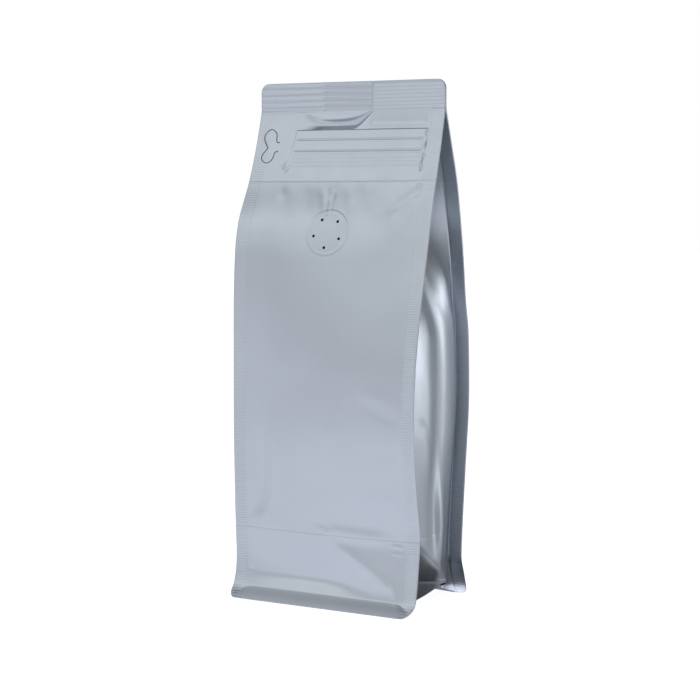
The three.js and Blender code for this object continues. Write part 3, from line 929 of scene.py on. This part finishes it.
# %% Valve
WELD_RING = ((3.4, 0.02), (2.8, 0), (2.4, 0), (2.1, 0.04), (1.7, 0.09), (1.1, 0.11), (0.6, 0.07),
             (0.3, 0.025), (0, -0.012), (-0.2, -0.05))     # how far in from the rim, and height
VALVE_OUTLINE = [(0.6, 0.08), (2.0, 0.08), (4.0, 0.07), (5.6, 0.05),
                 *[(VALVE_RADIUS - inwards, height) for inwards, height in WELD_RING]]
PINHOLES = {"count": 5, "circle": 7.7, "radius": 0.72, "first": math.radians(121)}
PINHOLE_DIMPLE = 0.05
VALVE_THICKNESS = 0.45


def pinhole_tree():
    tree, given = new_tree("pinhole_ring", {
        "Hole count": "Int", "Circle radius": "Float", "Hole radius": "Float", "First angle": "Float",
        "Film": "Material"})
    circle = add_node(tree, "GeometryNodeMeshCircle", {
        "Vertices": given["Hole count"], "Radius": given["Circle radius"]})
    pin = add_node(tree, "GeometryNodeMeshCylinder", {
        "Vertices": 24, "Radius": given["Hole radius"], "Depth": 6 * MM})
    ring = add_node(tree, "GeometryNodeInstanceOnPoints", {"Points": circle, "Instance": pin})
    turn = add_node(tree, "ShaderNodeCombineXYZ", {"Z": given["First angle"]})
    turned = add_node(tree, "GeometryNodeTransform", {"Geometry": ring, "Rotation": turn})
    pins = add_node(tree, "GeometryNodeRealizeInstances", {"Geometry": turned})
    pierced = add_node(tree, "GeometryNodeMeshBoolean", {
        "Mesh 1": given["Geometry"], "Mesh 2": pins}, operation="DIFFERENCE", solver="EXACT")
    return finish_tree(tree, pierced, given["Film"])


def valve_plate():
    """The valve as a plate in its own plane, with its outer face towards +Z."""
    steps = 144
    outline = smooth_curve(VALVE_OUTLINE)
    radius = np.concatenate([np.linspace(0.4, 9.2, 26), np.linspace(9.4, VALVE_RADIUS + 0.2, 24)])
    r, a = np.meshgrid(radius, np.linspace(0, 2 * np.pi, steps, endpoint=False), indexing="ij")
    x, y, height = r * np.cos(a), r * np.sin(a), outline(r)
    for i in range(PINHOLES["count"]):
        at = PINHOLES["first"] + 2 * np.pi * i / PINHOLES["count"]
        off = np.hypot(x - PINHOLES["circle"] * math.cos(at), y - PINHOLES["circle"] * math.sin(at))
        height = height - PINHOLE_DIMPLE * bump(off, 0, 1.1)
    top = np.stack([x, y, height], axis=-1)
    under = top[-1:] * (1, 1, 0) - (0, 0, VALVE_THICKNESS)
    hub = np.array([[0, 0, float(outline(0.6))], [0, 0, -VALVE_THICKNESS]])
    points = np.concatenate([top.reshape(-1, 3), under.reshape(-1, 3), hub])
    index = np.arange(len(points) - 2).reshape(-1, steps)
    index = np.concatenate([index, index[:, :1]], axis=1)
    faces = quads(index)[:, ::-1].tolist()
    centre, low_centre = len(points) - 2, len(points) - 1
    faces += [[centre, int(index[0, i]), int(index[0, i + 1])] for i in range(steps)]
    faces += [[low_centre, int(index[-1, i + 1]), int(index[-1, i])] for i in range(steps)]
    return mesh_object("valve_face", points, faces)


def seat_on_film(thing):
    """Stands the plate up in front of the film and lets it follow the film's gentle bow."""
    upright = Matrix(((1, 0, 0, 0), (0, 0, -1, 0), (0, 1, 0, 0), (0, 0, 0, 1)))
    thing.data.transform(Matrix.Translation((VALVE_X * MM, 0, VALVE_Z * MM)) @ upright)
    place = np.empty(3 * len(thing.data.vertices), np.float32)
    thing.data.vertices.foreach_get("co", place)
    place = place.reshape(-1, 3) / MM
    place[:, 1] += front(place[:, 0], place[:, 2], False)
    thing.data.vertices.foreach_set("co", (place * MM).ravel())
    thing.data.update()


valve_face = valve_plate()
add_modifier(valve_face, pinhole_tree(), hole_count=PINHOLES["count"], first_angle=PINHOLES["first"],
             circle_radius=PINHOLES["circle"] * MM, hole_radius=PINHOLES["radius"] * MM, film=valve_film)
settle(valve_face)
seat_on_film(valve_face)
print("valve face", len(valve_face.data.polygons), "faces")

# %% [markdown]
# ## The tear tab's cut
#
# A die cuts a curved line through the front film, so that a tab can be gripped and pulled. The slit is
# drawn as a dark strand, which is painted shade standing in for the shadow in the gap. Along the
# upper-left arc a pale strand runs beside it: the cut edge's pale sealing layer, drawn only where light
# catches it, so it is partly its own colour and partly a painted highlight. Both follow the same curve
# on the film, so one small tree sweeps a round section along a line of points.

# %% Tear tab
TAB_CUT = ((-40.6, 241.6), (-42.3, 241.6), (-42.9, 243.4), (-43.4, 246.4), (-46.7, 248.6), (-50.0, 246.6),
           (-50.5, 243.4), (-48.6, 240.2), (-47.9, 238.4), (-50.0, 235.4), (-50.2, 232.8), (-47.6, 230.8),
           (-44.9, 231.2), (-43.3, 233.4), (-42.7, 236.2), (-40.8, 236.9))
STRAND_DEPTH = 0.02                # how far the strands' middles lie behind the film's face
LIP_OFFSET = 0.42                  # how far the pale strand runs beside the dark one


def sweep_tree():
    tree, given = new_tree("swept_edge", {"Thickness": "Float", "Finish": "Material"})
    line = add_node(tree, "GeometryNodeMeshToCurve", {"Mesh": given["Geometry"]})
    section = add_node(tree, "GeometryNodeCurvePrimitiveCircle", {
        "Resolution": 8, "Radius": maths(tree, "MULTIPLY", given["Thickness"], 0.5)})
    swept = add_node(tree, "GeometryNodeCurveToMesh", {
        "Curve": line, "Profile Curve": section, "Fill Caps": True})
    return finish_tree(tree, swept, given["Finish"])


def along_spline(points, count):
    """Points along a Catmull-Rom spline through the given ones."""
    p = np.array(points, float)
    p = np.concatenate([[2 * p[0] - p[1]], p, [2 * p[-1] - p[-2]]])
    places = np.linspace(0, len(points) - 1, count)
    i = np.minimum(places.astype(int), len(points) - 2)
    t = (places - i)[:, None]
    a, b, c, d = p[i], p[i + 1], p[i + 2], p[i + 3]
    bend = (2 * a - 5 * b + 4 * c - d) * t ** 2 + (3 * b - a - 3 * c + d) * t ** 3
    return 0.5 * (2 * b + (c - a) * t + bend)


def swept_line(name, line, thickness, finish):
    """A thin strand along (x, z) points on the front film."""
    x, z = line.T
    points = np.stack([x, front(x, z) + STRAND_DEPTH, z], axis=-1)
    made = mesh_object(name, points, edges=[(i, i + 1) for i in range(len(points) - 1)])
    add_modifier(made, sweep_edge, thickness=thickness * MM, finish=finish)
    settle(made)
    made.data.shade_smooth()
    return made


sweep_edge = sweep_tree()
tab_line = along_spline(TAB_CUT, 160)
along = np.gradient(tab_line, axis=0)
along /= np.linalg.norm(along, axis=1, keepdims=True)
beside_cut = tab_line + LIP_OFFSET * np.stack([-along[:, 1], along[:, 0]], axis=1)
# the dark strand is painted shade: the shadow inside the slit
tab_slit = swept_line("tear_tab_cut", tab_line, 0.5, painted_slit_shade)
# pale sealing layer with a painted highlight, only along the upper-left arc of the cut
tab_lip = swept_line("tear_tab_lip", beside_cut[48:86], 0.4, sealing_edge_and_highlight)
print("tear tab", len(tab_slit.data.polygons), "faces")

# %% [markdown]
# ## Riding on the frame
#
# Every piece is attached to the frame's body that it moves with, and the solids it takes the place of are
# hidden. The pouch is one welded body, so all the film rides on the root and the solid `pouch` is
# hidden, and the valve's face rides there too with `valve` hidden.

# %% Ride and replace
film_pieces = [film_front, film_back, *gussets, film_bottom, *fins, seal, tab_slit, tab_lip]
for piece in film_pieces:
    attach(piece, "root")
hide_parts("pouch")
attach(valve_face, "root")
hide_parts("valve")
print(len(film_pieces) + 1, "pieces ride on the root body")

# %% [markdown]
# ## Floor and light
#
# A plain pale table and soft studio light. Metallised film shows what is around it, so most of the
# light comes from the whole room: brightest at the front left and darkest behind the right side, with
# every step between. A narrow soft box at the right draws the bright streaks on the gusset. The table
# glows evenly white for the camera, like a translucent acrylic one lit from below. For what the film
# reflects, its glow and colour are painted light and shade: more glow from in front, a painted shadow
# beside the right gusset's foot, where it turns dark and gives no glow, and a painted pool of light in a
# small spot behind the back lip.

# %% Floor, world and lights
# glow strengths: even for the camera (seen); for what the film reflects, painted light that is stronger in
# front than behind, and a painted pool of light behind the back lip (under)
TABLE_GLOW = {"seen": 0.9, "front": 0.76, "back": 0.2, "under": 1.3}
PAINTED_SHADOW_PATCH = (0.065, -0.005, 0.0)   # painted shadow beside the right gusset's foot, in metres
LIT_SPOT = (0.049, 0.0305, 0.0)    # painted pool of light behind the back lip's right end
LIGHT_AIM = Vector((0, 0, 0.14))   # about the pouch's middle
ROOM_STRENGTH = 1.37
BRIGHT_SIDE = -30.0                # azimuth of the brightest direction, in degrees
DARK_SIDE = 0.2                    # how bright the far side is next to it
ROOM_BANDS = ((0, 0.43), (12, 0.43), (28, 1.0), (50, 1.0), (60, 0.04))    # elevation and brightness


def floor_material():
    """Pale acrylic that glows evenly for the camera; what the film reflects of it is painted light and
    shade.
    """
    material, tree, shader, place = new_material("lit_acrylic_table")
    tint = mix(tree, noise(tree, place, 40, 3.0), linear("#f3f3f4"), linear("#f5f5f6"))
    seen = add_node(tree, "ShaderNodeLightPath").outputs["Is Camera Ray"]
    forward = vector_maths(tree, "DOT_PRODUCT", place, direction(BRIGHT_SIDE, 0))
    # painted light: for reflected rays the table glows more in front of the pouch than behind it
    around = change_range(tree, forward, (-0.06, 0.04), (TABLE_GLOW["back"], TABLE_GLOW["front"]))
    # painted pool of light: a small bright spot behind the back lip's right end
    from_spot = vector_maths(tree, "DISTANCE", place, LIT_SPOT)
    under = change_range(tree, from_spot, (0.003, 0.008), (TABLE_GLOW["under"], 0.0))
    # painted shadow: near the right gusset's foot the table gives the film no glow
    outside_painted_shadow = change_range(tree, vector_maths(tree, "DISTANCE", place, PAINTED_SHADOW_PATCH), (0.02, 0.05))
    reflected = maths(tree, "MAXIMUM", maths(tree, "MULTIPLY", around, outside_painted_shadow), under)
    connect(tree, shader, {
        # painted shadow: for all but camera rays the table is dark grey in that patch
        "Base Color": mix(tree, maths(tree, "MAXIMUM", seen, outside_painted_shadow), linear("#34363b"), tint),
        "Roughness": 0.9,
        "Emission Color": linear("#f8f7ff"),
        "Emission Strength": mix(tree, seen, reflected, TABLE_GLOW["seen"], "FLOAT")})
    return material


HALF_FLOOR = 6.0 / MM
floor_corners = np.array([[-1, -1, 0], [1, -1, 0], [1, 1, 0], [-1, 1, 0]]) * HALF_FLOOR
floor = mesh_object("floor", floor_corners, np.array([[0, 1, 2, 3]]))
floor.data.materials.append(floor_material())


def studio_world():
    """A room in bands of brightness, with a bright side and a dark side, that looks white itself."""
    world = bpy.data.worlds.new("studio")
    bpy.context.scene.world = world
    world.use_nodes = True
    tree = world.node_tree
    way = add_node(tree, "ShaderNodeTexCoord").outputs["Generated"]
    towards = vector_maths(tree, "DOT_PRODUCT", way, direction(BRIGHT_SIDE, 0))
    side = change_range(tree, towards, (0.1, 0.95), (DARK_SIDE, 1.0))
    height = add_node(tree, "ShaderNodeSeparateXYZ", {"Vector": way}).outputs["Z"]
    bands = add_node(tree, "ShaderNodeValToRGB", {"Fac": height})
    stops = bands.color_ramp.elements
    stops.remove(stops[1])
    for i, (elevation, brightness) in enumerate(ROOM_BANDS):
        stop = stops[0] if i == 0 else stops.new(1.0)
        stop.position = math.sin(math.radians(elevation))
        stop.color = (brightness, brightness, brightness, 1)
    room = add_node(tree, "ShaderNodeBackground", {
        "Color": bands, "Strength": maths(tree, "MULTIPLY", side, ROOM_STRENGTH)})
    white = add_node(tree, "ShaderNodeBackground", {"Color": linear("#ffffff"), "Strength": 1.0})
    seen = add_node(tree, "ShaderNodeLightPath").outputs["Is Camera Ray"]
    mixed = add_node(tree, "ShaderNodeMixShader", {0: seen, 1: room, 2: white})
    connect(tree, tree.nodes["World Output"], {"Surface": mixed})


def soft_box(name, azimuth, elevation, distance, size, power):
    """A large soft light that looks at the pouch."""
    way = direction(azimuth, elevation)
    light = bpy.data.lights.new(name, "AREA")
    light.shape = "RECTANGLE"
    light.size, light.size_y = size
    light.energy = power
    made = put(name, light)
    made.location = LIGHT_AIM + way * distance
    made.rotation_euler = way.to_track_quat("Z", "Y").to_euler()
    made.visible_camera = False


studio_world()
soft_box("side_strip", 124, 4, 1.6, (0.5, 0.8), 5)
bpy.context.scene.view_settings.view_transform = "Standard"
